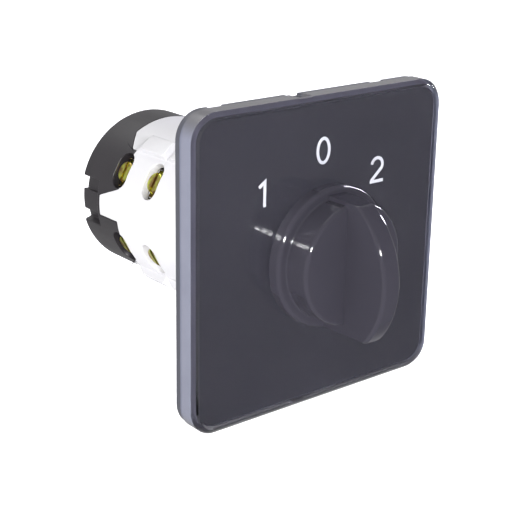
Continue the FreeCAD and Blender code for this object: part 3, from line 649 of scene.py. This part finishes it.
# %% Clear cover
COVER_LOW, COVER_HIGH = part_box("clear_cover")
FACE_Y = COVER_LOW[1]
COVER_CORNER = 5.6 * MM
COVER_BEVEL = 1.1 * MM
COVER_WALL = 1.5 * MM
COVER_SOFTENING = 0.16 * MM
WINDOW_THICKNESS = 1.6 * MM
SHAFT_HOLE = 7.0 * MM
PRY_SLOT_LEFT, PRY_SLOT_RIGHT = -6.0 * MM, -2.8 * MM
PRY_SLOT_FRONT = -4.6 * MM
PRY_SLOT_DEPTH = 0.7 * MM
GLOSS_ANGLE = 32


def cut_pry_slot(cover, side):
    """Cuts the slot for a blade into the top wall, side 1, or the bottom wall, side -1."""
    edge = COVER_HIGH[2]
    near, far = sorted((side * (edge - PRY_SLOT_DEPTH), side * (edge + MM)))
    cut_away(cover, add_block((PRY_SLOT_LEFT, PRY_SLOT_FRONT, near), (PRY_SLOT_RIGHT, MM, far)))


def shape_cover():
    cover = add_block(COVER_LOW, COVER_HIGH)
    bevel_edges(cover, lambda a, b: abs(a.y - b.y) > MM, COVER_CORNER, segments=10)
    bevel_edges(cover, lambda a, b: max(a.y, b.y) < FACE_Y + TOUCH, COVER_BEVEL, segments=1)
    choose(cover, "FACE", lambda face: face.normal.y > FLAT)
    bpy.ops.mesh.inset(thickness=COVER_WALL)
    push(-(COVER_HIGH[1] - FACE_Y - WINDOW_THICKNESS))
    bpy.ops.mesh.select_all(action="SELECT")
    bpy.ops.mesh.normals_make_consistent(inside=False)
    leave_edit()
    hole = add_cylinder(SHAFT_HOLE, (0, FACE_Y - MM, 0), (0, 0, 0), vertices=64)
    cut_away(cover, hole)
    for side in (-1, 1):
        cut_pry_slot(cover, side)
    soften(cover, COVER_SOFTENING, GLOSS_ANGLE, clamp=True)
    return cover


cover = shape_cover()
print("cover", len(cover.data.polygons), "faces")

# %% [markdown]
# ## Clear window, milky walls
# The cover's faces get three finishes. The window and its bevelled rim stay clear, the outer side
# of the wall and its back edge are milky, and the inner side gets a dark copy of the wall plastic,
# which is painted shade for the shut-in space between the wall and the plate. The window casts no
# shadow, as clear plastic hardly would, so the legend under it stays evenly lit.

# %% Cover finishes
OUTER_WALL, INNER_WALL = 1, 2
WALL_FROM = FACE_Y + COVER_BEVEL + MARGIN
CEILING_TO = FACE_Y + WINDOW_THICKNESS + MARGIN

dress(cover, clear_window, milky_shaded_wall, shaded_wall_inside)
for face in cover.data.polygons:
    faces_back = face.normal.y > FLAT
    is_ceiling = faces_back and face.center.y < CEILING_TO
    if face.center.y > WALL_FROM and not is_ceiling:
        outwards = face.normal.dot(Vector((face.center.x, 0, face.center.z))) > 0
        face.material_index = OUTER_WALL if outwards or faces_back else INNER_WALL
cover.visible_shadow = False
hand_over(cover, "cover_moulding", "frame", "clear_cover")

# %% [markdown]
# ## The knob's grip
# The knob is one moulding: a skirt, a drum and an arched blade to grip. The blade is a slice of a
# large disc, trimmed by planes at its two ends and at its root. Real moulds leave every edge
# rounded, and the bright lines on a gloss black knob come from those edges, so each has a bevel
# of its own: a wide one along the crest and a narrow one round each end.

# %% Blade
KNOB_FRONT_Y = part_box("knob")[0][1]
KNOB_BACK_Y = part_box("knob")[1][1]
SKIRT_HEIGHT = 3.2 * MM
DRUM_HEIGHT = 8.8 * MM
DRUM_FRONT_Y = FACE_Y - DRUM_HEIGHT
SKIRT_FRONT_Y = FACE_Y - SKIRT_HEIGHT
BLADE_HALF_WIDTH = 2.2 * MM
BLADE_RADIUS = 18.0 * MM
BLADE_CENTRE_Z = -2.05 * MM
BLADE_TOP_Z = 12.9 * MM
BLADE_BOTTOM_Z = -14.2 * MM
BLADE_ROOT = 0.5 * MM
BLADE_LEAN = 0.03
CREST_ROUNDING = 0.75 * MM
END_ROUNDING = 0.35 * MM
SLACK = 0.05 * MM


def trim(piece, point, outwards):
    """Cuts a piece along a plane, drops what lies outwards of it and closes the cut."""
    choose(piece, "FACE", lambda face: True)
    bpy.ops.mesh.bisect(plane_co=point, plane_no=outwards, use_fill=True, clear_outer=True)
    leave_edit()


def make_blade():
    centre_y = KNOB_FRONT_Y + BLADE_RADIUS
    start = (-BLADE_HALF_WIDTH, centre_y, BLADE_CENTRE_Z)
    end = (BLADE_HALF_WIDTH, centre_y, BLADE_CENTRE_Z)
    blade = add_cylinder(BLADE_RADIUS, start, end, vertices=192)
    top = Vector((0, DRUM_FRONT_Y, BLADE_TOP_Z + MARGIN)), Vector((0, -BLADE_LEAN, 1))
    bottom = Vector((0, DRUM_FRONT_Y, BLADE_BOTTOM_Z - MARGIN)), Vector((0, -BLADE_LEAN, -1))
    for point, outwards in (top, bottom):
        trim(blade, point, outwards)
    trim(blade, (0, SKIRT_FRONT_Y + BLADE_ROOT, 0), (0, 1, 0))

    def on_crest(a, b):
        nearest = min(math.hypot(p.y - centre_y, p.z - BLADE_CENTRE_Z) for p in (a, b))
        return abs(a.x - b.x) < TOUCH and nearest > BLADE_RADIUS - SLACK

    bevel_edges(blade, on_crest, CREST_ROUNDING, segments=4)
    for point, outwards in (top, bottom):
        def on_end(a, b):
            return max(abs((p - point).dot(outwards)) for p in (a, b)) < 2 * TOUCH

        bevel_edges(blade, on_end, END_ROUNDING, segments=3)
    return blade


blade = make_blade()
print("blade", len(blade.data.polygons), "faces")

# %% [markdown]
# ## The knob's round part
# The skirt and the drum grow from one cylinder by insetting its face and pushing it out. Three
# rings are then rounded, each found by its radius: both ends of an edge have to lie on the ring,
# or the edges that run outwards from it would be bevelled too. The back is hollowed like a real
# moulding, with a square socket for the shaft and a hole for the set screw.

# %% Knob
SKIRT_RADIUS = 14.6 * MM
DRUM_RADIUS = 12.5 * MM
RINGS = (
    (SKIRT_RADIUS, SKIRT_FRONT_Y, 0.9 * MM),
    (DRUM_RADIUS, SKIRT_FRONT_Y, 0.4 * MM),
    (DRUM_RADIUS, DRUM_FRONT_Y, 0.8 * MM),
)
RECESS_WALL = 1.6 * MM
RECESS_DEPTH = 1.4 * MM
SOCKET_HALF = 3.03 * MM
SOCKET_END_Y = -14.1 * MM
SCREW_HOLE_RADIUS = 1.65 * MM
SCREW_HOLE_Y = FACE_Y - 5.8 * MM
SCREW_HOLE_FROM = -16 * MM
HAIR = 0.005 * MM


def ring_near(radius, y):
    """A test for edges that lie on a circle round the shaft."""
    def on_ring(point):
        return abs(point.y - y) < SLACK and abs(math.hypot(point.x, point.z) - radius) < SLACK
    return lambda a, b: on_ring(a) and on_ring(b)


def make_round_part():
    back, front = (0, KNOB_BACK_Y, 0), (0, SKIRT_FRONT_Y, 0)
    knob = add_cylinder(SKIRT_RADIUS, back, front, vertices=144)
    choose(knob, "FACE", lambda face: face.normal.y < -FLAT)
    bpy.ops.mesh.inset(thickness=SKIRT_RADIUS - DRUM_RADIUS)
    push(SKIRT_HEIGHT - DRUM_HEIGHT)
    leave_edit()
    for radius, y, width in RINGS:
        bevel_edges(knob, ring_near(radius, y), width, segments=5)
    return knob


def hollow_back(knob):
    back = KNOB_BACK_Y - MARGIN
    choose(knob, "FACE", lambda face: face.normal.y > FLAT and face.center.y > back)
    bpy.ops.mesh.inset(thickness=RECESS_WALL)
    push(-RECESS_DEPTH)
    leave_edit()
    corner = (SOCKET_HALF, 0, SOCKET_HALF)
    cut_away(knob, add_block((-SOCKET_HALF, SOCKET_END_Y, -SOCKET_HALF), corner))
    hole = (0, SCREW_HOLE_Y, SCREW_HOLE_FROM), (0, SCREW_HOLE_Y, 0)
    cut_away(knob, add_cylinder(SCREW_HOLE_RADIUS, *hole, vertices=32))


knob = make_round_part()
cut_away(knob, blade, "UNION")
hollow_back(knob)
choose(knob, "FACE", lambda face: True)
bpy.ops.mesh.remove_doubles(threshold=TOUCH)
bpy.ops.mesh.dissolve_degenerate(threshold=HAIR)
leave_edit()
smooth(knob, GLOSS_ANGLE)
dress(knob, knob_plastic)
hand_over(knob, "knob_moulding", "selector", "knob")

# %% [markdown]
# ## Housings with rounded edges
# The plate's base, the latch, the two stages and the end housing have the right shape already, but
# a mould leaves no edge knife sharp. Each is a copy of the CAD mesh: loose triangles are merged,
# flat ones are joined to whole faces, and a small bevel then runs along every sharp edge.

# %% Rounded housings
MERGE_DISTANCE = 0.001 * MM
SAME_PLANE_ANGLE = math.radians(0.5)
HOUSING_ROUNDING = 0.2 * MM
HOUSING_ANGLE = 38


def merged_copy(node, name):
    """A piece with a CAD node's mesh, its loose triangles merged. Left in edit mode."""
    piece = bpy.data.objects.new(name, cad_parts[node].data.copy())
    bpy.context.scene.collection.objects.link(piece)
    choose(piece, "FACE", lambda face: True)
    bpy.ops.mesh.remove_doubles(threshold=MERGE_DISTANCE)
    return piece


def rounded_copy(node, name, paint):
    piece = merged_copy(node, name)
    bpy.ops.mesh.dissolve_limited(angle_limit=SAME_PLANE_ANGLE)
    leave_edit()
    soften(piece, HOUSING_ROUNDING, HOUSING_ANGLE, clamp=False)
    dress(piece, paint)
    hand_over(piece, name, "frame", node)


rounded_copy("base_plate", "plate_base", base_plastic)
rounded_copy("latch_housing", "latch_case", black_plastic)
rounded_copy("front_stage_housing", "front_stage_case", white_plastic)
rounded_copy("rear_stage_housing", "rear_stage_case", white_plastic)
rounded_copy("end_housing", "end_case", black_plastic)

# %% [markdown]
# ## Contact springs
# A coil spring sits between each plunger and the wall of its stage. One end stays with the housing
# and the other moves with the contact, so the coils have to close up and open. The CAD coil is
# copied and shaded smooth, and the CAD node is hidden.

# %% Contact springs
WIRE_ANGLE = math.radians(40)


def blended_spring(stage, level):
    """Makes a smooth-shaded copy of one spring and hides its CAD node. Returns its length."""
    node = stage + "_spring_" + level
    piece = merged_copy(node, node + "_coil")
    leave_edit()
    bpy.ops.object.shade_smooth_by_angle(angle=WIRE_ANGLE)
    low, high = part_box(node)
    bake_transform(piece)
    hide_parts(node)
    return round((high[2] - low[2]) / MM, 2)


print("spring lengths", [blended_spring(stage, level) for stage in STAGES for level in LEVELS])
